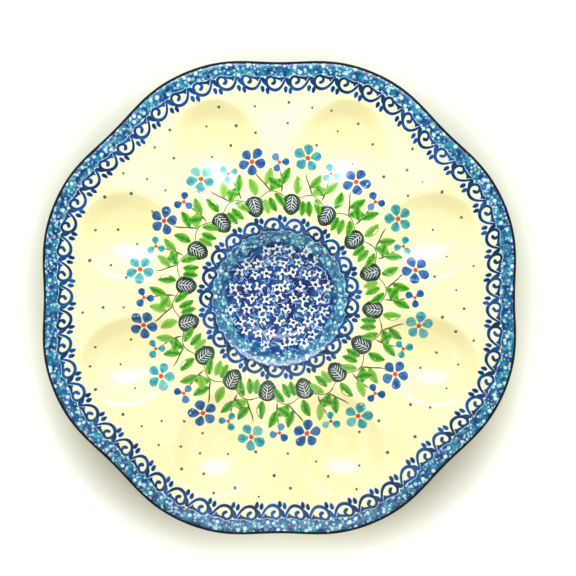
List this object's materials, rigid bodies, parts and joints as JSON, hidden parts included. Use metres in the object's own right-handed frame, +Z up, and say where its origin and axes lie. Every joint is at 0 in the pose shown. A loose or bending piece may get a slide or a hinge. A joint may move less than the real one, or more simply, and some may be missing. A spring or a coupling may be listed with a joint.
{
  "type": "deviled egg platter",
  "caption": "Round glazed stoneware platter with a scalloped rim, egg-shaped wells around a central dip dish, and a bare foot ring underneath.",
  "frame": {"origin": "middle of the foot ring, in the plane that the platter rests on", "axes": "+Z up out of the face, +Y through the notch that is at the top of the picture, +X through the notch on its right"},
  "size_m": [0.2568, 0.2568, 0.0299],
  "materials": {
    "stoneware": "unglazed, matt",
    "cream_glaze": "clear gloss over underglaze colours"
  },
  "bodies": {
    "root": {"stoneware_body": "stoneware", "face_glaze": "cream_glaze", "base_glaze": "cream_glaze"}
  },
  "joints": []
}
